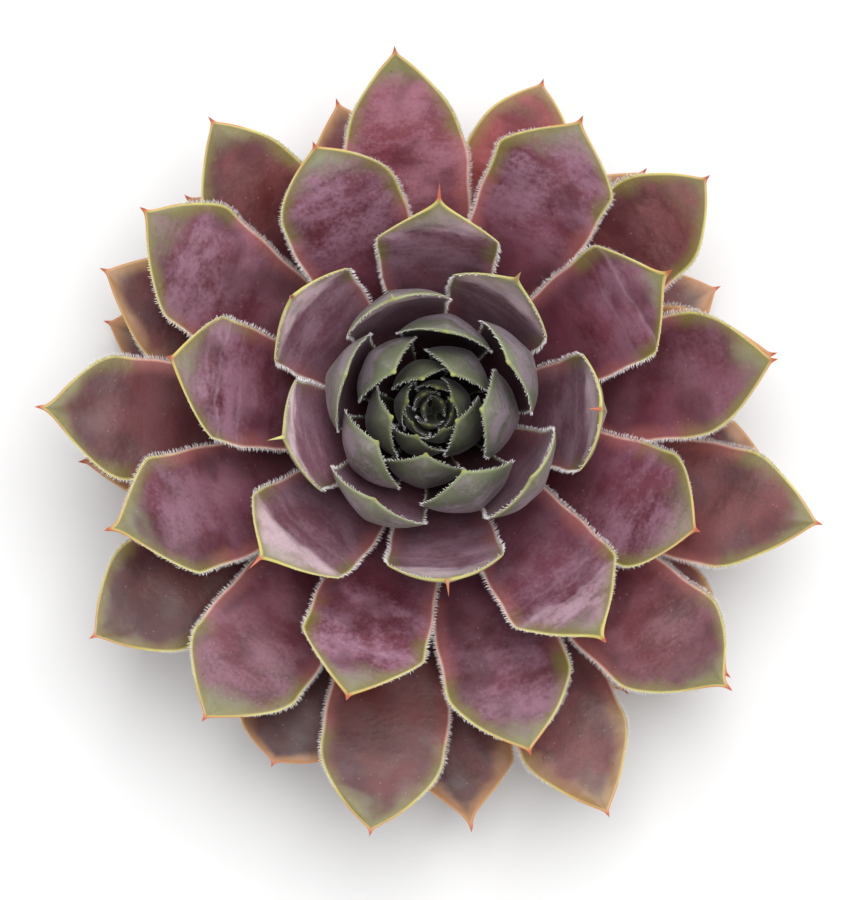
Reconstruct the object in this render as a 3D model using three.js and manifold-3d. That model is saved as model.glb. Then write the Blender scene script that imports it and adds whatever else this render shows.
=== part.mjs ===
// A houseleek rosette (Sempervivum), cut from its runner, standing on the cut end of its short stem.
// Millimetres, +Z up. The origin is the middle of the flat cut, and +Y is the side that leaf 45 points to.
// Leaves are numbered from the youngest, 0, in the heart, to the oldest, 69, at the bottom.
import * as THREE from 'three';
import { mergeVertices } from 'three/addons/utils/BufferGeometryUtils.js';
import Module from 'manifold-3d';

const wasm = await Module();
wasm.setup();

// ---- driving dimensions -------------------------------------------------------------------------

const GOLDEN_ANGLE = 137.78;      // degrees from each leaf to the next younger one
const ANCHOR_LEAF = 54;           // the leaf that points to ANCHOR_AZIMUTH
const ANCHOR_AZIMUTH = 293.8;     // degrees from +X towards +Y
const HEART_LEAVES = 14;          // the youngest leaves, grown together round the growing point
const OLDEST_LEAF = 69;

// How far each leaf's tip stands from the axis, youngest first, ten leaves a line.
const REACH = [
  1.0, 1.5, 2.0, 2.0, 2.5, 3.0, 2.5, 3.0, 3.0, 2.5,
  4.0, 3.5, 3.5, 5.0, 4.5, 6.0, 6.0, 6.0, 8.0, 9.0,
  9.0, 11.0, 10.5, 13.5, 13.5, 15.0, 18.5, 18.5, 21.5, 21.5,
  20.5, 28.0, 25.5, 35.5, 32.5, 33.5, 37.0, 35.5, 36.0, 42.5,
  40.5, 44.0, 43.5, 43.0, 47.5, 45.5, 50.5, 49.0, 45.5, 53.0,
  46.0, 50.5, 51.0, 44.5, 55.0, 45.5, 44.0, 48.5, 42.0, 50.0,
  45.0, 42.0, 52.5, 42.5, 43.5, 44.0, 35.5, 43.0, 44.0, 41.0,
];

// How far each leaf is turned off the even spiral, in degrees, in the same order.
const TURN = [
  0, 0, 0, 0, 0, 12, 7, 7, 15, 5,
  7, 10, 9, 13, 11, -4, 9, 3, 1, 3,
  -3, 1, 6, -6, 3, -6, 1, 2, -1, 4,
  -2, -1, 3, -1, 0, -2, 0, -2, -3, 0,
  0, 1, -2, -1, 2, 2, 1, 1, 0, -1,
  2, -3, 4, 0, 0, 0, -8, 5, 4, -6,
  0, 0, 4, 4, -3, 0, 3, 3, -2, -2,
];

// How the leaves change with age. Each line holds, for one leaf: its number; its seat's distance from
// the axis and height; its tip's height; its slope at the seat and at the tip in degrees, over 90
// where it leans inwards; how long the curve keeps each slope, as a share of the chord; half of its
// greatest width; and its greatest thickness. The leaves between two lines are read off between them.
const GROWTH = [
  [0, 0.6, 26.6, 30.0, 60, 95, 0.35, 0.35, 1.2, 0.9],
  [5, 1.6, 26.2, 32.8, 50, 112, 0.40, 0.35, 2.7, 1.2],
  [9, 2.4, 25.4, 35.0, 42, 122, 0.42, 0.38, 3.8, 1.5],
  [13, 3.3, 24.4, 37.2, 36, 126, 0.50, 0.46, 4.8, 1.8],
  [17, 4.2, 23.1, 39.3, 31, 128, 0.54, 0.48, 5.9, 2.1],
  [20, 4.7, 22.0, 40.8, 27, 124, 0.52, 0.46, 6.6, 2.3],
  [22, 5.0, 21.3, 41.3, 25, 110, 0.50, 0.42, 6.9, 2.4],
  [25, 5.3, 20.2, 41.5, 22, 96, 0.48, 0.38, 7.2, 2.6],
  [28, 5.6, 19.1, 41.0, 18, 84, 0.46, 0.34, 7.5, 2.7],
  [32, 5.9, 17.7, 38.0, 14, 54, 0.44, 0.32, 7.8, 2.9],
  [38, 6.3, 15.7, 33.0, 9, 32, 0.42, 0.30, 8.0, 3.0],
  [46, 6.7, 13.0, 26.0, 4, 20, 0.40, 0.30, 8.0, 3.1],
  [54, 7.0, 10.4, 19.0, 0, 10, 0.40, 0.30, 8.0, 3.1],
  [60, 7.1, 8.5, 12.5, -3, 2, 0.40, 0.30, 7.8, 3.0],
  [69, 7.2, 6.0, 5.0, -8, -8, 0.40, 0.30, 7.2, 2.8],
];

// How the outline of the blade's front changes with age: leaf number, distance from the tip to the
// widest place in half widths, and how round it is there: 1 gives straight edges that meet at a corner.
const OUTLINE = [
  [0, 1.2, 1.5], [22, 1.2, 1.5], [26, 0.95, 1.2], [35, 0.95, 1.25], [38, 1.1, 1.5], [46, 1.3, 1.5],
  [54, 1.5, 1.6], [69, 1.6, 2.0],
];

// Leaves off those rules. Leaf number and:
// its outline's two numbers,
const OWN_OUTLINE = new Map([
  [24, [1, 1.1]], [25, [1, 1.1]], [26, [1, 1]], [27, [1, 1]], [28, [1, 1]], [29, [1, 1]],
  [30, [1, 1]], [31, [0.9, 1.1]], [32, [0.8, 1]], [33, [1.3, 1.1]], [35, [0.9, 1.1]], [36, [1, 1.2]],
  [37, [1.2, 2.1]], [38, [0.9, 1.6]], [39, [1.1, 1.3]], [40, [0.9, 1.3]], [44, [1.1, 1.5]],
  [45, [1.9, 2.2]], [46, [1.2, 1.6]], [47, [1.3, 1.6]], [48, [1.4, 1.9]], [49, [1.4, 2]],
  [50, [1.8, 2.2]], [52, [1.3, 1.8]], [53, [1.6, 2.4]], [57, [0.8, 2.4]], [62, [1.1, 1.1]],
]);
// how far behind the tip its margins begin to draw in to the point, in a hollow curve,
const DRAWN_IN = new Map([
  [24, 1], [25, 1], [26, 2], [27, 1.5], [28, 2], [29, 2.5], [30, 2], [31, 1.5], [32, 2.5], [33, 2],
  [35, 2], [39, 2.5], [40, 1.2], [42, 1], [46, 2], [47, 2], [62, 2],
]);
// its slope at the tip, for those round the heart that have opened sooner or later than their neighbours,
const TIP_SLOPE = new Map([
  [17, 122], [18, 122], [19, 100], [20, 126], [21, 100], [22, 112], [23, 106], [24, 96],
  [25, 102], [26, 82], [27, 74], [28, 88], [29, 90], [30, 100], [31, 54], [32, 52],
]);
// how far its tip is held up or down by its neighbours,
const TIP_LIFT = new Map([
  [33, 1.6], [36, 0.3], [38, -1.5], [39, -0.3], [50, 1], [56, 0.8], [58, 0.6], [60, -0.3],
  [61, -0.3], [63, 0.7], [66, -1.3], [68, -1.1],
]);
// how far its tip stands to the left of its own middle, seen from the axis,
const DRIFT = new Map([
  [31, -2], [34, -3], [39, -3], [42, -4], [46, 3], [47, -3], [50, -4], [51, 3], [55, -2], [56, -2],
  [60, 2], [62, 4], [63, 1], [68, -3],
]);
// how broad it is against others of its age,
const BREADTH = new Map([[48, 0.9], [53, 0.85], [54, 0.9], [57, 0.85], [63, 0.9]]);
// and its bristle point's length and slope.
const POINT = new Map([
  [24, [1.4, 60]], [26, [2, 5]], [27, [1.6, 60]], [28, [2.2, -20]], [30, [1.5, 170]], [31, [2, 10]],
  [32, [2, 30]],
]);

const ROOT_WIDTH = 0.44;          // width at the seat, as a share of the greatest
const WAIST = 1.7;                // how late the leaf narrows towards its seat
const ROOT_THICKNESS = 0.56;      // thickness at the seat, as a share of the greatest
const THICK_STRETCH = 0.85;       // how far out the leaf swells, as a share of its length
const TIP_THICKNESS = 0.28;       // thickness behind the point, as a share of the greatest
const TIP_TAPER = 12;             // distance from the tip at which the leaf has its full thickness
const UPPER_SWELL = 0.28;         // share of the swelling that lies on the upper face
const SWELL_POWER = 2.2;          // how evenly the swelling spreads across the leaf
const RIM = 0.3;                  // half the thickness of the margin
const CUPPING = 0.012;            // curvature across an outer leaf, per mm
const CUPPED_RADIUS = 2;          // no leaf is curved across more tightly than this
const LEAST_DRAWN_IN = 0.6;       // how far behind the tip any other leaf's margins draw in
const POINT_LENGTH = 0.9;         // the bristle point on a full-sized leaf
const FULL_HALF_WIDTH = 8;
const POINT_SLOPE = 75;           // what the point curls up towards, degrees
const POINT_CURL = 0.45;          // how far it gets there
const DRIFT_POWER = 3;            // a drifting leaf bends mostly near its tip
const CURVE_STEPS = 48;

// Distance from the axis and height of the heart's core, from its underside to its top.
const CORE = [[0, 23.6], [2.3, 23.6], [2.6, 24.4], [1.9, 25.9], [0.9, 26.8], [0, 27.2]];
const CORE_SIDES = 15;
const HEART_ROOT = 0.9;           // how far the heart's leaves are sunk into its core
const WELD = 0.05;                // joined faces shorter than this are merged

const STEM_CUT_RADIUS = 6.2;
const STEM_CUT_EDGE = 0.4;
const STEM_FOOT = 3;              // height up to which the stem is bare
const STEM_TOP_RADIUS = 1.9;
const STEM_SIDES = 28;
const RINGED_LEAVES = 4;          // the stem's outline takes the seat of every fourth leaf
const SEAT_CLEARANCE = 0.45;      // between the stem and the middle of a leaf's root
const SEAT_DEPTH = 0.9;           // half of a root's thickness
const GAP = 0.3;

const leafGreen = new THREE.Color(0x5b6a4a);
const leafPurple = new THREE.Color(0x7b4653);
const OPENING_LEAF = 30;          // leaves older than this are wholly purple

// ---- rules --------------------------------------------------------------------------------------

const { degToRad: radians, lerp, clamp } = THREE.MathUtils;

// One row of a table by leaf number, read off between its lines.
function between(table, number) {
  let row = 1;
  while (table[row][0] < number) row += 1;
  const [young, old] = [table[row - 1], table[row]];
  const share = (number - young[0]) / (old[0] - young[0]);
  return young.slice(1).map((value, column) => lerp(value, old[column + 1], share));
}

function grown(number) {
  const [seatRadius, seatHeight, tipHeight, seatSlope, tipSlope, ...rest] = between(GROWTH, number);
  const [seatHold, tipHold, halfWidth, thickness] = rest;
  return {
    seatRadius, seatHeight, tipHeight, seatSlope, tipSlope, seatHold, tipHold, halfWidth, thickness,
  };
}

// A leaf's measures and its middle line, in the upright plane through the axis: x outwards, y up.
function leafOf(number) {
  const g = grown(number);
  const halfWidth = g.halfWidth * (BREADTH.get(number) ?? 1);
  const [shoulder, roundness] = OWN_OUTLINE.get(number) ?? between(OUTLINE, number);
  const tipSlope = TIP_SLOPE.get(number) ?? g.tipSlope;
  const [pointLength, pointSlope] = POINT.get(number)
    ?? [POINT_LENGTH * halfWidth / FULL_HALF_WIDTH, lerp(tipSlope, POINT_SLOPE, POINT_CURL)];
  const drift = DRIFT.get(number) ?? 0;
  const spoke = ANCHOR_AZIMUTH + GOLDEN_ANGLE * (ANCHOR_LEAF - number) + TURN[number];
  const azimuth = radians(spoke) - Math.atan(drift / REACH[number]);

  const seat = new THREE.Vector2(g.seatRadius, g.seatHeight);
  const tip = new THREE.Vector2(REACH[number], g.tipHeight + (TIP_LIFT.get(number) ?? 0));
  const chord = seat.distanceTo(tip);
  const curve = new THREE.CubicBezierCurve(
    seat,
    seat.clone().add(along(g.seatSlope, g.seatHold * chord)),
    tip.clone().sub(along(tipSlope, g.tipHold * chord)),
    tip,
  );
  curve.arcLengthDivisions = CURVE_STEPS;
  return {
    ...g, halfWidth, shoulder: shoulder * halfWidth, roundness, drift, azimuth, curve,
    drawnIn: DRAWN_IN.get(number) ?? LEAST_DRAWN_IN,
    length: curve.getLength(), point: along(pointSlope, pointLength),
  };
}

function along(degrees, length) {
  return new THREE.Vector2(Math.cos(radians(degrees)), Math.sin(radians(degrees))).multiplyScalar(length);
}

// The distance from the tip, made less near it, so that the margins draw in to the point.
function drawn(leaf, fromTip) {
  return fromTip * (1 - Math.exp(-fromTip / leaf.drawnIn));
}

function halfWidthAt(leaf, fromTip) {
  if (fromTip < leaf.shoulder) {
    const front = drawn(leaf, fromTip) / drawn(leaf, leaf.shoulder);
    return leaf.halfWidth * (1 - (1 - front) ** leaf.roundness);
  }
  const share = (fromTip - leaf.shoulder) / (leaf.length - leaf.shoulder);
  return leaf.halfWidth * (1 - (1 - ROOT_WIDTH) * share ** WAIST);
}

function thicknessAt(leaf, fromTip) {
  const share = Math.min(1, (1 - fromTip / leaf.length) / THICK_STRETCH);
  const body = lerp(ROOT_THICKNESS, 1, Math.sin(Math.PI * share));
  const taper = Math.min(1, lerp(TIP_THICKNESS, 1, fromTip / TIP_TAPER));
  return leaf.thickness * body * taper;
}

// ---- one leaf -----------------------------------------------------------------------------------

// Where the rings of points lie: behind the shoulder, in shares of the way from there to the root, and
// before it, in shares of the way from the tip. Then where the points lie on a ring's upper face, in
// shares of the half width.
const FINE = {
  behind: [1, 0.72, 0.45, 0.2],
  before: [1, 0.62, 0.3, 0.1, 0],
  across: [1, 0.55, 0, -0.55, -1],
};
const COARSE = {
  behind: [1, 0.5],
  before: [1, 0.45, 0.15, 0],
  across: [1, 0.45, -0.45, -1],
};

// A closed leaf: rings of points round the middle line, capped at the root, drawn to a point at the tip.
function leafSolid(number, { behind, before, across } = FINE, root = 0) {
  const leaf = leafOf(number);
  const outwards = new THREE.Vector3(Math.cos(leaf.azimuth), Math.sin(leaf.azimuth), 0);
  const sideways = new THREE.Vector3(-Math.sin(leaf.azimuth), Math.cos(leaf.azimuth), 0);
  const up = new THREE.Vector3(0, 0, 1);
  const inSpace = (place, drifted) => outwards.clone().multiplyScalar(place.x)
    .addScaledVector(up, place.y)
    .addScaledVector(sideways, drifted);
  const points = [];

  const ring = (fromTip, sunk = 0) => {
    const share = 1 - fromTip / leaf.length;
    const place = leaf.curve.getPointAt(share);
    const way = leaf.curve.getTangentAt(share);
    place.addScaledVector(way, -sunk);
    const normal = inSpace(new THREE.Vector2(-way.y, way.x), 0);
    const middle = inSpace(place, leaf.drift * share ** DRIFT_POWER);
    const halfWidth = Math.max(halfWidthAt(leaf, fromTip), RIM);
    const swelling = Math.max(thicknessAt(leaf, fromTip) - 2 * RIM, 0);
    const bend = Math.max(way.y, 0) / Math.max(place.x, CUPPED_RADIUS) + CUPPING;
    const point = (across, side) => {
      const arc = across * halfWidth * bend;
      const face = side > 0 ? UPPER_SWELL : 1 - UPPER_SWELL;
      const swell = swelling * face * (1 - Math.abs(across) ** SWELL_POWER);
      return middle.clone()
        .addScaledVector(sideways, Math.sin(arc) / bend)
        .addScaledVector(normal, (1 - Math.cos(arc)) / bend + side * (RIM + swell));
    };
    points.push(...across.map((share) => point(share, 1)), ...across.map((share) => point(-share, -1)));
  };

  if (root > 0) ring(leaf.length, root);
  behind.forEach((share) => ring(lerp(leaf.shoulder, leaf.length, share)));
  before.forEach((share) => ring(share * leaf.shoulder));
  points.push(inSpace(leaf.curve.getPointAt(1).add(leaf.point), leaf.drift));

  const size = 2 * across.length;
  const rings = (points.length - 1) / size;
  const faces = [];
  for (let row = 0; row < rings - 1; row += 1) {
    for (let step = 0; step < size; step += 1) {
      const a = row * size + step;
      const b = row * size + (step + 1) % size;
      if (step < across.length) faces.push(a, b, b + size, a, b + size, a + size);
      else faces.push(a, b, a + size, b, b + size, a + size);
    }
  }
  for (let step = 1; step < size - 1; step += 1) faces.push(0, step + 1, step);
  const last = (rings - 1) * size;
  const pointEnd = points.length - 1;
  for (let step = 0; step < size; step += 1) faces.push(last + step, last + (step + 1) % size, pointEnd);

  const geometry = new THREE.BufferGeometry();
  const coordinates = points.flatMap((p) => p.toArray());
  geometry.setAttribute('position', new THREE.Float32BufferAttribute(coordinates, 3));
  geometry.setIndex(faces);
  return geometry;
}

// ---- the heart: the youngest leaves grown together on the growing point --------------------------

function toSolid(geometry) {
  const merged = mergeVertices(geometry);
  return new wasm.Manifold(new wasm.Mesh({
    numProp: 3,
    vertProperties: new Float32Array(merged.attributes.position.array),
    triVerts: new Uint32Array(merged.index.array),
  }));
}

function toGeometry(solid) {
  const mesh = solid.getMesh();
  const geometry = new THREE.BufferGeometry();
  geometry.setAttribute('position', new THREE.BufferAttribute(new Float32Array(mesh.vertProperties), 3));
  geometry.setIndex(new THREE.BufferAttribute(new Uint32Array(mesh.triVerts), 1));
  return geometry;
}

function lathe(profile, sides) {
  const geometry = new THREE.LatheGeometry(profile.map(([x, y]) => new THREE.Vector2(x, y)), sides);
  geometry.deleteAttribute('normal');
  geometry.deleteAttribute('uv');
  return geometry.rotateX(Math.PI / 2);
}

function heart() {
  let solid = toSolid(lathe(CORE, CORE_SIDES));
  for (let number = 0; number < HEART_LEAVES; number += 1) {
    solid = solid.add(toSolid(leafSolid(number, COARSE, HEART_ROOT)));
  }
  // The small hollows that the joined roots close off are filled: only the outer skin is kept.
  const shells = solid.simplify(WELD).decompose().sort((a, b) => b.volume() - a.volume());
  return toGeometry(shells[0]);
}

// ---- the stem ------------------------------------------------------------------------------------

function stem() {
  const top = CORE[0][1] - 2 * GAP;
  const profile = [
    [0, 0],
    [STEM_CUT_RADIUS - STEM_CUT_EDGE, 0],
    [STEM_CUT_RADIUS, STEM_CUT_EDGE],
    [STEM_CUT_RADIUS, STEM_FOOT],
  ];
  for (let number = OLDEST_LEAF; number > HEART_LEAVES; number -= RINGED_LEAVES) {
    const g = grown(number);
    const lean = SEAT_DEPTH * Math.sin(radians(Math.max(g.seatSlope, 0)));
    profile.push([g.seatRadius - SEAT_CLEARANCE - lean, g.seatHeight]);
  }
  profile.push([STEM_TOP_RADIUS, top], [0, top]);
  return mergeVertices(lathe(profile, STEM_SIDES), WELD / 10);
}

// ---- the rosette ---------------------------------------------------------------------------------

const rosette = new THREE.Group();

function place(name, geometry, colour, roughness) {
  const mesh = new THREE.Mesh(geometry, new THREE.MeshStandardMaterial({ color: colour, roughness }));
  mesh.name = name;
  rosette.add(mesh);
}

place('stem', stem(), new THREE.Color(0x8a6a52), 0.85);
place('heart', heart(), leafGreen, 0.55);
for (let number = HEART_LEAVES; number <= OLDEST_LEAF; number += 1) {
  const age = clamp((number - HEART_LEAVES) / (OPENING_LEAF - HEART_LEAVES), 0, 1);
  place(`leaf_${number}`, leafSolid(number), leafGreen.clone().lerp(leafPurple, age), 0.55);
}

export default rosette;
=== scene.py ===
"""A houseleek rosette, seen from straight above: fine skins, marginal hairs and waxy, mottled colour
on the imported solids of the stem, the heart and the leaves."""
import math

import bpy
import numpy as np
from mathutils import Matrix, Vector


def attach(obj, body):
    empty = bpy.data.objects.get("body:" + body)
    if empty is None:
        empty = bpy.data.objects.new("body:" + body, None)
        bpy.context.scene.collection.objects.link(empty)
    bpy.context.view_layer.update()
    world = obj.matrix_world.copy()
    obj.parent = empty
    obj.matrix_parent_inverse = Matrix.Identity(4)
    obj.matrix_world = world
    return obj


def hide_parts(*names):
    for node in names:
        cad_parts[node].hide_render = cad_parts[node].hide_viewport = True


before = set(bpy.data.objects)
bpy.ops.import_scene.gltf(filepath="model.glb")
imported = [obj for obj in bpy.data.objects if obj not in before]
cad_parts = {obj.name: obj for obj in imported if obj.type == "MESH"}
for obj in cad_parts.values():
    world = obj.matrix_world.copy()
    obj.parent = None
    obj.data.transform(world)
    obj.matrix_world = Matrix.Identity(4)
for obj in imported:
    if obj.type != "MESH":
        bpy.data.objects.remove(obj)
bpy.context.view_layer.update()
scene = bpy.context.scene
MM = 0.001

# ---- the rosette's own measures, as in the solids (mm, degrees) ---------------------------------

GOLDEN_ANGLE = 137.78
ANCHOR_LEAF = 54
ANCHOR_AZIMUTH = 293.8
HEART_LEAVES = 14
OPENING_LEAF = 31         # leaves younger than this still stand round the heart
OLDEST_LEAF = 69

# How far each leaf's tip stands from the axis, youngest first, ten leaves a line.
REACH = [
    1.0, 1.5, 2.0, 2.0, 2.5, 3.0, 2.5, 3.0, 3.0, 2.5,
    4.0, 3.5, 3.5, 5.0, 4.5, 6.0, 6.0, 6.0, 8.0, 9.0,
    9.0, 11.0, 10.5, 13.5, 13.5, 15.0, 18.5, 18.5, 21.5, 21.5,
    20.5, 28.0, 25.5, 35.5, 32.5, 33.5, 37.0, 35.5, 36.0, 42.5,
    40.5, 44.0, 43.5, 43.0, 47.5, 45.5, 50.5, 49.0, 45.5, 53.0,
    46.0, 50.5, 51.0, 44.5, 55.0, 45.5, 44.0, 48.5, 42.0, 50.0,
    45.0, 42.0, 52.5, 42.5, 43.5, 44.0, 35.5, 43.0, 44.0, 41.0,
]

# How far each leaf is turned off the even spiral, in the same order.
TURN = [
    0, 0, 0, 0, 0, 12, 7, 7, 15, 5,
    7, 10, 9, 13, 11, -4, 9, 3, 1, 3,
    -3, 1, 6, -6, 3, -6, 1, 2, -1, 4,
    -2, -1, 3, -1, 0, -2, 0, -2, -3, 0,
    0, 1, -2, -1, 2, 2, 1, 1, 0, -1,
    2, -3, 4, 0, 0, 0, -8, 5, 4, -6,
    0, 0, 4, 4, -3, 0, 3, 3, -2, -2,
]

# Leaf number; seat's distance from the axis and height; tip's height; slopes at seat and tip; how
# long the curve keeps each slope, in chords; half of the greatest width; greatest thickness.
GROWTH = [
    (0, 0.6, 26.6, 30.0, 60, 95, 0.35, 0.35, 1.2, 0.9),
    (5, 1.6, 26.2, 32.8, 50, 112, 0.40, 0.35, 2.7, 1.2),
    (9, 2.4, 25.4, 35.0, 42, 122, 0.42, 0.38, 3.8, 1.5),
    (13, 3.3, 24.4, 37.2, 36, 126, 0.50, 0.46, 4.8, 1.8),
    (17, 4.2, 23.1, 39.3, 31, 128, 0.54, 0.48, 5.9, 2.1),
    (20, 4.7, 22.0, 40.8, 27, 124, 0.52, 0.46, 6.6, 2.3),
    (22, 5.0, 21.3, 41.3, 25, 110, 0.50, 0.42, 6.9, 2.4),
    (25, 5.3, 20.2, 41.5, 22, 96, 0.48, 0.38, 7.2, 2.6),
    (28, 5.6, 19.1, 41.0, 18, 84, 0.46, 0.34, 7.5, 2.7),
    (32, 5.9, 17.7, 38.0, 14, 54, 0.44, 0.32, 7.8, 2.9),
    (38, 6.3, 15.7, 33.0, 9, 32, 0.42, 0.30, 8.0, 3.0),
    (46, 6.7, 13.0, 26.0, 4, 20, 0.40, 0.30, 8.0, 3.1),
    (54, 7.0, 10.4, 19.0, 0, 10, 0.40, 0.30, 8.0, 3.1),
    (60, 7.1, 8.5, 12.5, -3, 2, 0.40, 0.30, 7.8, 3.0),
    (69, 7.2, 6.0, 5.0, -8, -8, 0.40, 0.30, 7.2, 2.8),
]

# Leaf number; from the tip to the widest place, in half widths; how round the outline is there.
OUTLINE = [
    (0, 1.2, 1.5), (22, 1.2, 1.5), (26, 0.95, 1.2), (35, 0.95, 1.25), (38, 1.1, 1.5), (46, 1.3, 1.5),
    (54, 1.5, 1.6), (69, 1.6, 2.0),
]

# Leaves off those rules: outline, how far behind the tip the margins draw in to it, slope at the tip,
# lift of the tip, the tip's sideways drift, how broad the leaf is against others of its age, and the
# length and slope of its bristle point.
OWN_OUTLINE = {
    24: (1, 1.1), 25: (1, 1.1), 26: (1, 1), 27: (1, 1), 28: (1, 1), 29: (1, 1), 30: (1, 1),
    31: (0.9, 1.1), 32: (0.8, 1), 33: (1.3, 1.1), 35: (0.9, 1.1), 36: (1, 1.2),
    37: (1.2, 2.1), 38: (0.9, 1.6), 39: (1.1, 1.3), 40: (0.9, 1.3), 44: (1.1, 1.5),
    45: (1.9, 2.2), 46: (1.2, 1.6), 47: (1.3, 1.6), 48: (1.4, 1.9), 49: (1.4, 2),
    50: (1.8, 2.2), 52: (1.3, 1.8), 53: (1.6, 2.4), 57: (0.8, 2.4), 62: (1.1, 1.1),
}
DRAWN_IN = {
    24: 1, 25: 1, 26: 2, 27: 1.5, 28: 2, 29: 2.5, 30: 2, 31: 1.5, 32: 2.5, 33: 2, 35: 2, 39: 2.5, 40: 1.2,
    42: 1, 46: 2, 47: 2, 62: 2,
}
TIP_SLOPE = {
    17: 122, 18: 122, 19: 100, 20: 126, 21: 100, 22: 112, 23: 106, 24: 96,
    25: 102, 26: 82, 27: 74, 28: 88, 29: 90, 30: 100, 31: 54, 32: 52,
}
TIP_LIFT = {
    33: 1.6, 36: 0.3, 38: -1.5, 39: -0.3, 50: 1, 56: 0.8, 58: 0.6, 60: -0.3,
    61: -0.3, 63: 0.7, 66: -1.3, 68: -1.1,
}
DRIFT = {
    31: -2, 34: -3, 39: -3, 42: -4, 46: 3, 47: -3, 50: -4, 51: 3, 55: -2, 56: -2, 60: 2, 62: 4, 63: 1, 68: -3,
}
BREADTH = {48: 0.9, 53: 0.85, 54: 0.9, 57: 0.85, 63: 0.9}
POINT = {24: (1.4, 60), 26: (2, 5), 27: (1.6, 60), 28: (2.2, -20), 30: (1.5, 170), 31: (2, 10), 32: (2, 30)}

# How much more or less of the lilac bloom a leaf has than others of its age.
WAX = {
    33: 1.1, 34: 1.0, 35: 0.6, 36: 1.3, 37: 1.4, 38: 0.8, 39: 0.7, 41: 0.9, 43: 0.45, 44: 0.8, 45: 2.2,
    47: 0.5, 49: 0.6, 52: 0.3, 53: 1.6, 57: 0.1, 60: 0.3,
}
# How light a leaf is against others of its age: partly its own tone, partly painted light and shade on leaves that
# face towards or away from the light.
TONE_AND_LIGHT = {
    15: 0.75, 18: 1.3, 19: 0.9, 21: 1.25, 23: 1.35, 26: 1.75, 29: 1.4, 31: 1.1, 37: 0.95, 38: 0.9, 39: 0.88, 41: 0.85,
    42: 0.92, 43: 0.88, 45: 1.3, 47: 0.88, 49: 0.88, 52: 0.8, 53: 2.1, 57: 0.7, 60: 0.85,
}
# How green a leaf's tip is against others of its age.
GREEN_TIP = {34: 0.7, 36: 0.8, 38: 0.55, 52: 0.8, 57: 0.0, 60: 0.3}

ROOT_WIDTH = 0.44
WAIST = 1.7
ROOT_THICKNESS = 0.56
THICK_STRETCH = 0.85
TIP_THICKNESS = 0.28
TIP_TAPER = 12
UPPER_SWELL = 0.28
SWELL_POWER = 2.2
CUPPING = 0.012
CUPPED_RADIUS = 2
LEAST_DRAWN_IN = 0.6
POINT_LENGTH = 0.9
FULL_HALF_WIDTH = 8
POINT_SLOPE = 75
POINT_CURL = 0.45
DRIFT_POWER = 3

# ---- what the skins add to the solids -----------------------------------------------------------

SOLID_RIM = 0.3           # half the thickness of a solid's margin
SKIN_RIM = 0.17           # and of a skin's
POINT_RADIUS = 0.24
FLARE_LENGTH = 1.6        # the margins run out into the point over this length
CURVE_STEPS = 96
ROWS = 72                 # rings of points along a full-sized leaf
ACROSS = 24               # steps across each face
ROOT_SUNK = 0.8           # a skin's root reaches this far into the stem
UNDULATION = 0.10
FOLD_DEPTH = 0.16         # print of a neighbour's margin, across the leaves that have just opened
FOLD_WIDTH = 0.45
FOLDED_LEAVES = (24, 36)
KEEL_HEIGHT = 0.35        # of the ridge down the back of a bud leaf
KEEL_WIDTH = 1.3


def way(slope):
    return np.array([math.cos(slope), math.sin(slope)])


def between(table, number):
    rows = np.array(table)
    return [float(np.interp(number, rows[:, 0], column)) for column in rows[:, 1:].T]


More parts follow.
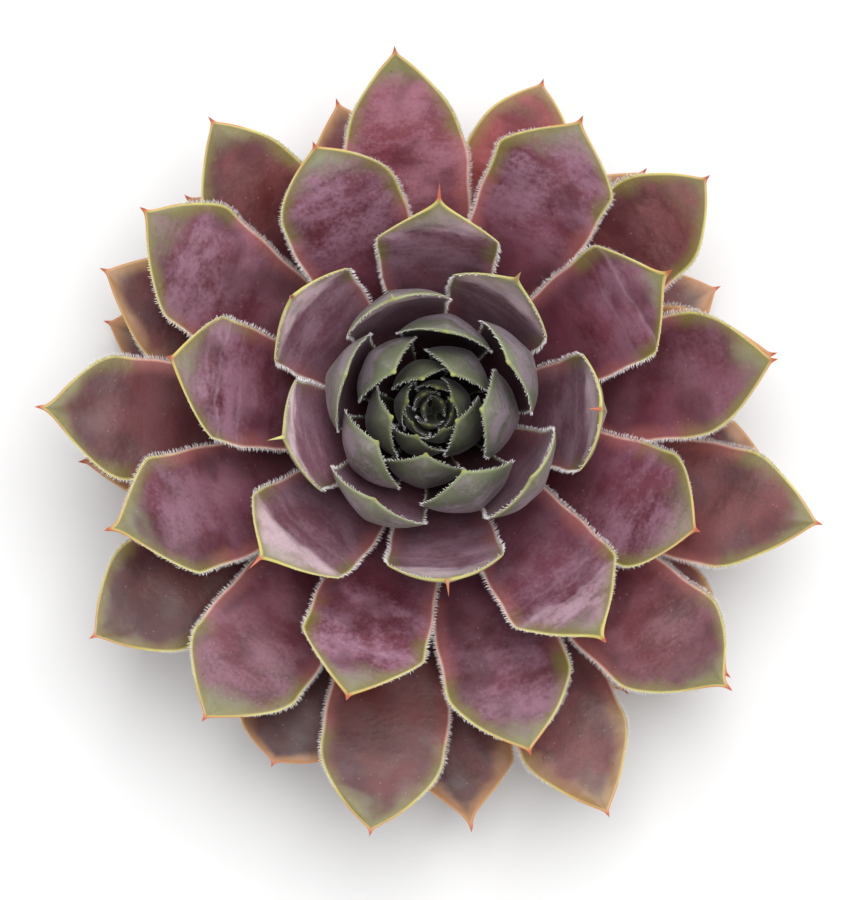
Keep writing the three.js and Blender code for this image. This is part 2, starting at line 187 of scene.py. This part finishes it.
class Leaf:
    """The middle line, the outline and the section of one leaf."""

    def __init__(self, number):
        self.number = number
        (seat_radius, seat_height, tip_height, seat_slope, tip_slope, seat_hold, tip_hold,
         half_width, self.thickness) = between(GROWTH, number)
        self.half_width = half_width * BREADTH.get(number, 1)
        shoulder, self.roundness = OWN_OUTLINE.get(number) or between(OUTLINE, number)
        self.shoulder = shoulder * self.half_width
        self.drawn_in = DRAWN_IN.get(number, LEAST_DRAWN_IN)
        tip_slope = TIP_SLOPE.get(number, tip_slope)
        curled = tip_slope + POINT_CURL * (POINT_SLOPE - tip_slope)
        self.point, slope = POINT.get(number, (POINT_LENGTH * self.half_width / FULL_HALF_WIDTH, curled))
        self.point_slope = math.radians(slope)
        self.drift = DRIFT.get(number, 0)
        spoke = ANCHOR_AZIMUTH + GOLDEN_ANGLE * (ANCHOR_LEAF - number) + TURN[number]
        azimuth = math.radians(spoke) - math.atan(self.drift / REACH[number])
        self.outwards = np.array([math.cos(azimuth), math.sin(azimuth), 0.0])
        self.sideways = np.array([-math.sin(azimuth), math.cos(azimuth), 0.0])

        seat = np.array([seat_radius, seat_height])
        tip = np.array([REACH[number], tip_height + TIP_LIFT.get(number, 0)])
        chord = np.linalg.norm(tip - seat)
        first = seat + seat_hold * chord * way(math.radians(seat_slope))
        second = tip - tip_hold * chord * way(math.radians(tip_slope))
        t = np.linspace(0, 1, CURVE_STEPS + 1)[:, None]
        self.line = ((1 - t) ** 3 * seat + 3 * (1 - t) ** 2 * t * first
                     + 3 * (1 - t) * t ** 2 * second + t ** 3 * tip)
        steps = np.linalg.norm(np.diff(self.line, axis=0), axis=1)
        self.arc = np.concatenate([[0], np.cumsum(steps)])
        self.length = self.arc[-1]
        tangent = np.gradient(self.line, axis=0)
        self.slope = np.unwrap(np.arctan2(tangent[:, 1], tangent[:, 0]))
        random = np.random.default_rng(500 + number)
        self.waves = random.uniform(0, 2 * math.pi, 6)
        self.fold = self.shoulder * random.uniform(0.92, 1.1)

    def drawn(self, from_tip):
        """The distance from the tip, made less near it, so that the margins draw in to the point."""
        return from_tip * (1 - np.exp(-from_tip / self.drawn_in))

    def half_width_at(self, from_tip):
        share = self.drawn(np.clip(from_tip, 0, self.shoulder)) / self.drawn(self.shoulder)
        back = np.clip((from_tip - self.shoulder) / (self.length - self.shoulder), 0, 1)
        blade = self.half_width * (1 - (1 - share) ** self.roundness) * (1 - (1 - ROOT_WIDTH) * back ** WAIST)
        bristle = POINT_RADIUS * np.where(
            from_tip > 0, np.exp(-(from_tip / FLARE_LENGTH) ** 2), np.clip(1 + from_tip / self.point, 0.12, 1))
        wave = 1 + 0.012 * np.sin(from_tip * 0.9 + self.waves[0]) * np.clip(from_tip / 4, 0, 1)
        return blade * wave + bristle

    def thickness_at(self, from_tip):
        share = np.clip((1 - from_tip / self.length) / THICK_STRETCH, 0, 1)
        body = ROOT_THICKNESS + (1 - ROOT_THICKNESS) * np.sin(math.pi * share)
        return self.thickness * body * np.minimum(1, TIP_THICKNESS + (1 - TIP_THICKNESS) * from_tip / TIP_TAPER)

    def relief(self, from_tip, across, side):
        """How far a face stands off the even shape: gentle waves, a fold where the leaf was pressed by its
        neighbours, and a keel down the back of a bud leaf."""
        a, b, c, d, e, f = self.waves
        width = across * self.half_width
        waves = (np.sin(0.42 * from_tip + a) * np.sin(0.5 * width + b)
                 + 0.6 * np.sin(0.85 * from_tip + c + 0.3 * width) + 0.4 * np.sin(1.15 * width + d + 0.35 * from_tip))
        inside = (1 - across ** 4) * np.clip(from_tip / 3, 0, 1)
        offset = UNDULATION * min(1, self.half_width / FULL_HALF_WIDTH) * waves * inside
        if FOLDED_LEAVES[0] <= self.number <= FOLDED_LEAVES[1]:
            line = self.fold + 0.5 * np.sin(0.5 * width + e) + 0.25 * np.sin(1.3 * width + f)
            offset = offset - FOLD_DEPTH * np.exp(-((from_tip - line) / FOLD_WIDTH) ** 2) * (1 - across ** 2)
        if self.number < OPENING_LEAF:
            keel = KEEL_HEIGHT * self.half_width / FULL_HALF_WIDTH * np.exp(-(width / KEEL_WIDTH) ** 2)
            offset = offset - np.where(side < 0, keel, 0) * np.clip(from_tip / 2, 0, 1)
        return offset

    def place(self, from_tip, across, side):
        """Points on the skin: from_tip in mm, across in half widths, side 1 for the upper face, -1 for
        the lower, 0 for between them."""
        arc = self.length - np.maximum(from_tip, 0)
        slope = np.interp(arc, self.arc, self.slope)
        sunk = np.maximum(from_tip - self.length, 0)
        beyond = np.clip(-from_tip, 0, self.point)
        radius = (np.interp(arc, self.arc, self.line[:, 0]) - sunk * np.cos(slope)
                  + beyond * math.cos(self.point_slope))
        height = (np.interp(arc, self.arc, self.line[:, 1]) - sunk * np.sin(slope)
                  + beyond * math.sin(self.point_slope))
        turned = slope + (self.point_slope - slope) * np.clip(beyond / (0.5 * self.point), 0, 1)
        up = np.array([0, 0, 1.0])
        normal = -np.sin(turned)[..., None] * self.outwards + np.cos(turned)[..., None] * up
        middle = radius[..., None] * self.outwards + height[..., None] * up
        middle = middle + (self.drift * (arc / self.length) ** DRIFT_POWER)[..., None] * self.sideways

        half_width = self.half_width_at(from_tip)
        thin = np.where(from_tip > 0, 1, half_width / POINT_RADIUS)
        bend = np.maximum(np.sin(slope), 0) / np.maximum(radius, CUPPED_RADIUS) + CUPPING
        turn = across * half_width * bend
        swelling = np.maximum(self.thickness_at(np.maximum(from_tip, 0)) - 2 * SOLID_RIM, 0) * (from_tip > 0)
        face = np.where(side > 0, UPPER_SWELL, 1 - UPPER_SWELL)
        swell = (swelling * face + SOLID_RIM - SKIN_RIM) * (1 - np.abs(across) ** SWELL_POWER)
        rim = SKIN_RIM * thin * np.sqrt(np.clip(1 - np.abs(across) ** 12, 0, 1))
        swell = np.where(from_tip > 0, swell, 0) * np.clip(from_tip / 1.5, 0, 1)
        offset = ((1 - np.cos(turn)) / bend + side * (rim + swell)
                  + self.relief(from_tip, across, side) * (from_tip > 0))
        return middle + (np.sin(turn) / bend)[..., None] * self.sideways + offset[..., None] * normal


# ---- meshes -------------------------------------------------------------------------------------

def add_mesh(name, vertices, faces):
    mesh = bpy.data.meshes.new(name)
    mesh.from_pydata((np.asarray(vertices) * MM).tolist(), [], faces)
    mesh.update()
    mesh.shade_smooth()
    piece = bpy.data.objects.new(name, mesh)
    scene.collection.objects.link(piece)
    return piece


def add_attribute(piece, name, values):
    layer = piece.data.attributes.new(name, "FLOAT_VECTOR", "POINT")
    layer.data.foreach_set("vector", np.asarray(values, np.float32).ravel())


def ring_faces(rings, size):
    """Quads between rings of points, and fans to a point after the last ring and to one before the first."""
    faces = []
    for row in range(rings - 1):
        for step in range(size):
            a, b = row * size + step, row * size + (step + 1) % size
            faces.append((a, b, b + size, a + size))
    last, end, start = (rings - 1) * size, rings * size, rings * size + 1
    for step in range(size):
        after = (step + 1) % size
        faces.append((last + step, last + after, end))
        faces.append((after, step, start))
    return faces


def leaf_skin(leaf, name):
    rows = ROWS if leaf.number >= HEART_LEAVES else ROWS // 2
    share = np.linspace(0, 1, rows + 1)[:-1]
    from_tip = (leaf.length + ROOT_SUNK) * (1 - share) ** 1.3 - leaf.point * share ** 8
    across = np.sin(np.linspace(0.5, -0.5, ACROSS + 1) * math.pi)
    ring_across = np.concatenate([across, across[-2:0:-1]])
    ring_side = np.concatenate([np.ones(len(across)), -np.ones(len(across) - 2)])
    grid_tip, grid_across = np.meshgrid(from_tip, ring_across, indexing="ij")
    grid_side = np.broadcast_to(ring_side, grid_tip.shape)
    points = leaf.place(grid_tip, grid_across, grid_side)
    nought = np.zeros(1)
    end = leaf.place(np.array([-leaf.point]), nought, nought)
    start = points[0].mean(axis=0, keepdims=True)
    piece = add_mesh(name, np.concatenate([points.reshape(-1, 3), end, start]), ring_faces(rows, len(ring_across)))

    half = leaf.half_width_at(grid_tip)
    seed = np.full_like(half, leaf.number)
    coat = tuple(np.full_like(half, table.get(leaf.number, 1)) for table in (WAX, TONE_AND_LIGHT, GREEN_TIP))
    columns = {
        # distance from the margin and from the tip, and which face
        "where": ((1 - np.abs(grid_across)) * half, grid_tip, grid_side),
        # the leaf laid flat, for its mottling
        "flat": (grid_across * half, grid_tip, seed * 7.31),
        # leaf number, share of the way from the root, and where the fold runs
        "age": (seed, 1 - grid_tip / leaf.length, np.full_like(half, leaf.fold)),
        "coat": coat,
    }
    for key, values in columns.items():
        stacked = np.stack(values, -1).reshape(-1, 3)
        add_attribute(piece, key, np.concatenate([stacked, stacked[-1:], stacked[:1]]))
    return piece


HAIR_LENGTH = 0.86
TOOTH_LENGTH = 0.5       # round the heart the hairs are only teeth
HAIR_RADIUS = 0.055
HAIR_SPACING = 0.15
TOOTH_SPACING = 0.26
HAIR_START = 2.4          # from the tip, on the leaves that have opened
BARE_TIP = 3.5            # and how much further back on the oldest
HAIR_END = 0.8            # as a share of the leaf's length from its tip


def unit(vectors):
    return vectors / np.linalg.norm(vectors, axis=1, keepdims=True)


def leaf_hairs(leaf, name):
    random = np.random.default_rng(1000 + leaf.number)
    opened = float(np.clip((leaf.number - 21) / 6, 0, 1))
    start = 0.5 + (HAIR_START - 0.5) * opened + BARE_TIP * float(np.clip((leaf.number - 42) / 10, 0, 1))
    stop = HAIR_END * leaf.length
    full_length = TOOTH_LENGTH + (HAIR_LENGTH - TOOTH_LENGTH) * opened
    count = int((stop - start) / (TOOTH_SPACING + (HAIR_SPACING - TOOTH_SPACING) * opened))
    vertices, faces = [], []
    for margin in (-1.0, 1.0):
        from_tip = start + (stop - start) * (np.arange(count) + random.uniform(0.25, 0.75, count)) / count
        edge, level = np.full(count, margin), random.uniform(-0.5, 0.5, count) + 0.5 * opened
        nought = np.zeros(count)
        root = leaf.place(from_tip, edge * 0.985, nought)
        along = unit(leaf.place(from_tip - 0.25, edge * 0.985, nought) - root)
        out = root - leaf.place(from_tip, edge * 0.9, nought)
        out = unit(out - along * np.sum(out * along, axis=1, keepdims=True))
        up = np.cross(along, out) * margin
        grow = 0.4 + 0.6 * np.clip((from_tip - start) / (0.5 + 3 * opened), 0, 1)
        length = (full_length * grow * random.uniform(0.7, 1.15, count))[:, None]
        lean = random.uniform(0.1, 0.5, count)[:, None]
        rise = (0.5 * level + 0.3 * opened)[:, None]
        first = unit(out + along * lean + up * rise)
        second = unit(first + along * 0.25)
        root = root + up * (SKIN_RIM * level)[:, None] - out * 0.05
        middle = root + first * 0.55 * length
        end = middle + second * 0.45 * length
        side_a = unit(np.cross(first, up))
        side_b = np.cross(first, side_a)
        for hair in range(count):
            base = len(vertices)
            for centre, radius in ((root[hair], HAIR_RADIUS), (middle[hair], 0.7 * HAIR_RADIUS)):
                for corner in range(3):
                    angle = 2 * math.pi * corner / 3
                    vertices.append(
                        centre + radius * (math.cos(angle) * side_a[hair] + math.sin(angle) * side_b[hair]))
            vertices.append(end[hair])
            faces.append((base + 2, base + 1, base))
            for corner in range(3):
                after = (corner + 1) % 3
                faces.append((base + corner, base + after, base + 3 + after, base + 3 + corner))
                faces.append((base + 3 + corner, base + 3 + after, base + 6))
    return add_mesh(name, vertices, faces)


STEM_RADIUS = 6.15
STEM_TOP = 22.8
STEM_ROWS = 80
STEM_SIDES = 96


def stem_skin(name):
    """The bare foot of the stem with its leaf scars, narrowing upwards behind the seats of the leaves."""
    numbers = np.arange(OLDEST_LEAF, HEART_LEAVES, -4)
    seats = np.array([between(GROWTH, number)[:5] for number in numbers])
    height_line = np.concatenate([[0, 0.5, 3.0], seats[:, 1], [STEM_TOP]])
    lean = 0.9 * np.sin(np.radians(np.maximum(seats[:, 3], 0)))
    radius_line = np.concatenate([[5.7, STEM_RADIUS, STEM_RADIUS], seats[:, 0] - 0.5 - lean, [1.9]])
    heights = STEM_TOP * np.linspace(0, 1, STEM_ROWS) ** 1.1
    angles = np.linspace(0, 2 * math.pi, STEM_SIDES, endpoint=False)
    grid_height, grid_angle = np.meshgrid(heights, angles, indexing="ij")
    radius = np.interp(grid_height, height_line, radius_line)
    scars = np.maximum(np.cos(5 * grid_angle + 2.4 * grid_height), 0) ** 3 * np.cos(
        8 * grid_angle - 3.1 * grid_height).clip(0) ** 2
    ripple = 0.07 * np.sin(11 * grid_angle + 1.7 * np.sin(2 * grid_height)) + 0.05 * np.sin(23 * grid_angle)
    radius = radius - 0.25 * scars + ripple * np.clip(grid_height / 0.6, 0, 1)
    points = np.stack([radius * np.cos(grid_angle), radius * np.sin(grid_angle), grid_height], -1).reshape(-1, 3)
    caps = [[0, 0, STEM_TOP], [0, 0, 0]]
    return add_mesh(name, np.concatenate([points, caps]), ring_faces(STEM_ROWS, STEM_SIDES))


# ---- materials ----------------------------------------------------------------------------------

def srgb(red, green, blue):
    channel = lambda c: c / 12.92 if c <= 0.04045 else ((c + 0.055) / 1.055) ** 2.4
    return (*(channel(c / 255) for c in (red, green, blue)), 1.0)


class Graph:
    """Short names for building a material's node tree."""

    def __init__(self, name):
        self.material = bpy.data.materials.new(name)
        self.material.use_nodes = True
        self.tree = self.material.node_tree
        self.shader = self.tree.nodes["Principled BSDF"]

    def node(self, kind, **settings):
        made = self.tree.nodes.new(kind)
        for key, value in settings.items():
            setattr(made, key, value)
        return made

    def feed(self, socket, value):
        if isinstance(value, bpy.types.NodeSocket):
            self.tree.links.new(value, socket)
        else:
            socket.default_value = value

    def math(self, operation, *values):
        made = self.node("ShaderNodeMath", operation=operation)
        for socket, value in zip(made.inputs, values):
            self.feed(socket, value)
        return made.outputs[0]

    def times(self, *values):
        product = values[0]
        for value in values[1:]:
            product = self.math("MULTIPLY", product, value)
        return product

    def ramp(self, value, low, high, start=0.0, end=1.0):
        """start where value is at low, end where it is at high, smooth between them."""
        made = self.node("ShaderNodeMapRange", interpolation_type="SMOOTHSTEP")
        for socket, number in zip(made.inputs, (value, low, high, start, end)):
            self.feed(socket, number)
        return made.outputs[0]

    def mix(self, share, one, other):
        made = self.node("ShaderNodeMix", data_type="RGBA")
        self.feed(made.inputs[0], share)
        self.feed(made.inputs[6], one)
        self.feed(made.inputs[7], other)
        return made.outputs[2]

    def noise(self, vector, scale, detail=3.0, roughness=0.55, distortion=0.0):
        made = self.node("ShaderNodeTexNoise")
        self.feed(made.inputs["Vector"], vector)
        for key, value in zip(("Scale", "Detail", "Roughness", "Distortion"), (scale, detail, roughness, distortion)):
            made.inputs[key].default_value = value
        return made.outputs["Fac"]

    def speck(self, vector, scale, radius):
        made = self.node("ShaderNodeTexVoronoi")
        self.feed(made.inputs["Vector"], vector)
        made.inputs["Scale"].default_value = scale
        return self.ramp(made.outputs["Distance"], radius, 0.5 * radius)

    def attribute(self, name):
        return self.node("ShaderNodeAttribute", attribute_name=name).outputs["Vector"]

    def split(self, vector):
        made = self.node("ShaderNodeSeparateXYZ")
        self.feed(made.inputs[0], vector)
        return made.outputs

    def stretch(self, vector, x, y, z):
        made = self.node("ShaderNodeVectorMath", operation="MULTIPLY")
        self.feed(made.inputs[0], vector)
        made.inputs[1].default_value = (x, y, z)
        return made.outputs[0]

    def bump(self, height, strength, distance):
        made = self.node("ShaderNodeBump")
        made.inputs["Strength"].default_value = strength
        made.inputs["Distance"].default_value = distance
        self.feed(made.inputs["Height"], height)
        self.feed(self.shader.inputs["Normal"], made.outputs[0])

    def set(self, **values):
        for key, value in values.items():
            self.shader.inputs[key.replace("_", " ")].default_value = value


def skin_material():
    g = Graph("houseleek_skin")
    margin, from_tip, side = g.split(g.attribute("where"))
    flat = g.attribute("flat")
    age, along, fold = g.split(g.attribute("age"))
    upper = g.ramp(side, -0.2, 0.2)

    broad = g.noise(flat, 0.10, 2, 0.5, 0.3)
    patchy = g.noise(g.stretch(flat, 0.8, 1, 1), 0.24, 3, 0.5, 0.3)
    streaks = g.noise(g.stretch(flat, 0.35, 1.2, 1), 0.55, 2, 0.5, 0.5)
    fine = g.noise(flat, 1.8, 3, 0.68)
    wander = g.math("SUBTRACT", patchy, 0.5)

    # Opened leaves: maroon, browner on the oldest, under a lilac bloom that is thicker outwards.
    maroon = g.mix(g.ramp(broad, 0.38, 0.62), srgb(90, 36, 48), srgb(116, 58, 74))
    brown = g.mix(g.ramp(broad, 0.38, 0.62), srgb(78, 27, 28), srgb(100, 41, 41))
    older = g.ramp(age, 42, 49)
    opened = g.mix(older, maroon, brown)
    cloud = g.math("ADD", g.times(patchy, 0.5), g.math("ADD", g.times(streaks, 0.2), g.times(fine, 0.3)))
    wax, tone_and_light, green_tip = g.split(g.attribute("coat"))
    outwards = g.math("MINIMUM", g.times(wax, g.ramp(along, 0.40, 0.84, 0.16, 0.95)), 1.0)
    bloom = g.times(g.ramp(cloud, 0.38, 0.62), outwards, g.ramp(age, 38, 50, 1.0, 0.45))
    opened = g.mix(bloom, opened, g.mix(older, srgb(160, 118, 138), srgb(140, 78, 82)))
    deep = g.ramp(g.noise(flat, 0.15, 2, 0.5, 0.2), 0.48, 0.66)
    opened = g.mix(g.times(deep, 0.6), opened, srgb(78, 32, 42))
    # Painted shade: the opened leaves darken towards the root, where the leaves above shade them.
    opened = g.mix(g.ramp(along, 0.60, 0.25, 0, 0.75), opened, srgb(68, 25, 35))

    # Leaves that have just opened: grey-lilac; pale beyond the fold, partly their own colour and partly painted light
    # where the flared tip faces up; painted shade towards the root.
    beyond = g.ramp(g.math("SUBTRACT", from_tip, g.math("ADD", fold, g.times(wander, 4.0))), 1.0, -1.3)
    ring = g.mix(g.ramp(cloud, 0.38, 0.64), srgb(104, 66, 78), srgb(138, 106, 120))
    # Partly painted light: beyond the fold the leaf is paled where it faces up.
    ring = g.mix(g.times(beyond, g.ramp(cloud, 0.34, 0.6, 0.5, 0.9)), ring, srgb(214, 190, 196))
    # Painted shade on the steep lower blade, under the younger leaves.
    ring = g.mix(g.ramp(along, 0.62, 0.3, 0, 0.65), ring, srgb(76, 42, 50))
    face = g.mix(g.ramp(age, 35, 30), opened, ring)

    # Bud leaves: grey-green backs with lilac patches, partly their bloom and partly a painted sheen, greener towards
    # the margin; painted shade towards the root, on the inner faces and over the heart.
    # Lilac patches: partly the bloom, partly a painted sheen.
    back = g.mix(g.ramp(cloud, 0.42, 0.58), srgb(88, 92, 78), srgb(138, 124, 134))
    back = g.mix(g.ramp(g.math("ADD", margin, g.times(wander, 4.0)), 2.4, 0.2, 0, 0.55), back, srgb(92, 112, 60))
    # Painted shade: the backs darken towards the root.
    back = g.mix(g.ramp(along, 0.72, 0.35, 0, 0.75), back, srgb(86, 50, 54))
    # Painted shade: the inner faces, deep in the cup, are dark and darkest towards the root.
    inside_shade = g.mix(g.ramp(along, 0.6, 0.95), srgb(56, 30, 34), srgb(88, 66, 68))
    back = g.mix(upper, back, inside_shade)
    # The heart's own dark green, darkened further with painted shade deep in the centre.
    heart = g.mix(g.ramp(fine, 0.35, 0.65), srgb(18, 22, 8), srgb(42, 52, 24))
    back = g.mix(g.ramp(age, 16, 11), back, heart)
    bud = g.ramp(g.math("ADD", age, g.times(upper, 5.0)), 30, 25)
    face = g.mix(bud, face, back)

    # Undersides are greener, and pale at the root.
    under = g.mix(g.ramp(along, 0.45, 0.1), srgb(124, 92, 84), srgb(182, 168, 130))
    hidden = g.times(g.math("SUBTRACT", 1.0, upper), g.ramp(age, 24, 32))
    face = g.mix(g.times(hidden, 0.75), face, under)

    # Per-leaf lightness: partly the leaf's own tone, partly painted light and shade on leaves that face towards or
    # away from the light.
    shade = g.node("ShaderNodeHueSaturation")
    g.feed(shade.inputs["Color"], face)
    g.feed(shade.inputs["Value"], tone_and_light)
    face = shade.outputs[0]

    # Grey-green tips; inside the margin an olive band near the tip and further back a painted peach glow of light
    # shining through the margin; and the margin itself, pale in its own colour and brightened with painted glow.
    open_leaf = g.ramp(age, 22, 30)
    reach = g.math("ADD", from_tip, g.times(wander, 9.0))
    tip_size = g.times(green_tip, g.ramp(age, 24, 31, 0.4, 0.9), g.ramp(age, 44, 55, 1.0, 0.35))
    tip_green = g.mix(g.ramp(age, 36, 46), srgb(158, 161, 134), srgb(126, 126, 90))
    face = g.mix(g.times(g.ramp(reach, 6.0, 0.3), tip_size), face, tip_green)
    band = g.ramp(g.math("ADD", margin, g.times(wander, 3.0)), 2.6, 0.0)
    outer_part = g.ramp(g.math("ADD", from_tip, g.times(wander, 8.0)), 14.0, 9.5)
    # Olive near the tip is the leaf's colour; the peach further back is painted glow of light through the margin.
    band_and_glow = g.mix(outer_part, srgb(184, 112, 106), srgb(124, 117, 56))
    face = g.mix(g.times(band, g.ramp(outer_part, 0, 1, 0.5, 0.75), open_leaf), face, band_and_glow)
    # The margin: its own pale colour, brightened with painted glow of light shining through it.
    margin_and_glow = g.mix(outer_part, srgb(240, 190, 168), srgb(214, 207, 112))
    margin_and_glow = g.mix(open_leaf, srgb(150, 164, 116), margin_and_glow)
    face = g.mix(g.times(g.ramp(margin, 0.52, 0.08), g.ramp(age, 10, 30, 0.35, 0.9)), face, margin_and_glow)
    faded = g.times(g.ramp(g.math("ADD", margin, g.times(wander, 5.0)), 3.0, 0.0), g.ramp(age, 51, 57), outer_part)
    face = g.mix(g.times(faded, 0.6), face, srgb(208, 142, 104))
    ruddy = g.times(g.ramp(margin, 0.3, 0.1), g.ramp(reach, 5.0, 1.0), g.ramp(age, 30, 40), 0.7)
    face = g.mix(ruddy, face, srgb(204, 108, 78))
    point = g.mix(g.ramp(age, 25, 29), srgb(186, 194, 112), srgb(190, 98, 66))
    face = g.mix(g.ramp(from_tip, 0.7, -0.2), face, point)
    # Painted shade: the youngest leaves, deep in the centre, darken to near black.
    face = g.mix(g.ramp(age, 14, 5, 0, 0.6), face, srgb(16, 20, 8))

    # Dark and pale specks, and the pale lines of the folds.
    face = g.mix(g.times(g.speck(flat, 0.42, 0.085), 0.4), face, srgb(64, 30, 34))
    face = g.mix(g.times(g.speck(flat, 0.7, 0.12), 0.14), face, srgb(200, 176, 182))
    folded = g.times(g.ramp(age, 38, 34), g.ramp(age, 23, 25), upper)
    for behind, strength in ((0.0, 0.22), (3.2, 0.1)):
        place = g.math("ADD", fold, g.math("ADD", behind, g.times(wander, 3.0)))
        line = g.math("ABSOLUTE", g.math("SUBTRACT", from_tip, place))
        face = g.mix(g.times(g.ramp(line, 0.45, 0.0), folded, strength), face, srgb(186, 166, 178))

    g.feed(g.shader.inputs["Base Color"], face)
    g.feed(g.shader.inputs["Roughness"], g.ramp(patchy, 0.35, 0.65, 0.38, 0.52))
    g.set(Sheen_Weight=0.15, Sheen_Roughness=0.4, Sheen_Tint=(0.95, 0.82, 0.92, 1), Subsurface_Weight=0.12,
          Subsurface_Radius=(1.0, 0.35, 0.25), Subsurface_Scale=0.0015)
    g.bump(g.math("ADD", g.times(g.noise(flat, 0.8, 3, 0.55, 0.3), 0.8), g.times(fine, 0.2)), 0.3, 0.00022)
    return g.material


def hair_material():
    g = Graph("houseleek_hair")
    g.set(Base_Color=srgb(253, 249, 250), Roughness=0.35, Sheen_Weight=1.0, Sheen_Roughness=0.4)
    return g.material


def bark_material():
    g = Graph("houseleek_stem")
    place = g.node("ShaderNodeTexCoord").outputs["Object"]
    flakes = g.noise(g.stretch(place, 1000, 1000, 2200), 0.5, 5, 0.65, 0.5)
    g.feed(g.shader.inputs["Base Color"], g.mix(g.ramp(flakes, 0.35, 0.7), srgb(112, 78, 56), srgb(176, 140, 108)))
    g.set(Roughness=0.85)
    g.bump(flakes, 0.7, 0.0004)
    return g.material


# ---- the rosette --------------------------------------------------------------------------------

skin = skin_material()
hair = hair_material()
bark = bark_material()


def dress(piece, material, node):
    piece.data.materials.append(material)
    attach(piece, "root")
    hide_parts(node)


for number in range(OLDEST_LEAF + 1):
    leaf = Leaf(number)
    in_heart = number < HEART_LEAVES
    node = "heart" if in_heart else f"leaf_{number}"
    dress(leaf_skin(leaf, f"skin_{number}"), skin, node)
    dress(leaf_hairs(leaf, f"hairs_{number}"), hair, node)
dress(stem_skin("stem_skin"), bark, "stem")

# ---- floor, light and camera --------------------------------------------------------------------

FLOOR_SIZE = 3.0
bpy.ops.mesh.primitive_plane_add(size=FLOOR_SIZE)
floor = bpy.context.object
floor.name = "floor"
paper = Graph("floor")
paper.set(Base_Color=(0.86, 0.86, 0.86, 1), Roughness=0.9)
floor.data.materials.append(paper.material)

SKY_STRENGTH = 0.66
world = bpy.data.worlds.new("studio")
world.use_nodes = True
world.node_tree.nodes["Background"].inputs[0].default_value = (1, 1, 1, 1)
world.node_tree.nodes["Background"].inputs[1].default_value = SKY_STRENGTH
scene.world = world


def area_light(name, place, size, power):
    light = bpy.data.objects.new(name, bpy.data.lights.new(name, "AREA"))
    light.data.size = size
    light.data.energy = power
    light.location = place
    light.rotation_mode = "QUATERNION"
    light.rotation_quaternion = (Vector((0, 0, 0.02)) - Vector(place)).to_track_quat("-Z", "Y")
    scene.collection.objects.link(light)


area_light("overhead", (0.10, 0.22, 0.72), 0.6, 5.0)

PIXELS_PER_MM = 7.84      # in the 860 x 900 frame, at the height the camera aims at
FRAME_HEIGHT = 900
CAMERA_DISTANCE = 0.52
CAMERA_HEIGHT_ANGLE = math.radians(87)
AIM = Vector((-0.0002, -0.0043, 0.016))
camera = bpy.data.objects.new("camera", bpy.data.cameras.new("camera"))
scene.collection.objects.link(camera)
back = Vector((0, -math.cos(CAMERA_HEIGHT_ANGLE), math.sin(CAMERA_HEIGHT_ANGLE)))
camera.location = AIM + back * CAMERA_DISTANCE
camera.rotation_euler = (-back).to_track_quat("-Z", "Y").to_euler()
camera.data.sensor_width = 36
camera.data.lens = 36 * PIXELS_PER_MM * CAMERA_DISTANCE / MM / FRAME_HEIGHT
camera.data.clip_start = 0.01
scene.camera = camera
scene.view_settings.view_transform = "Standard"
scene.cycles.max_bounces = 4
scene.cycles.diffuse_bounces = 3
scene.cycles.glossy_bounces = 2
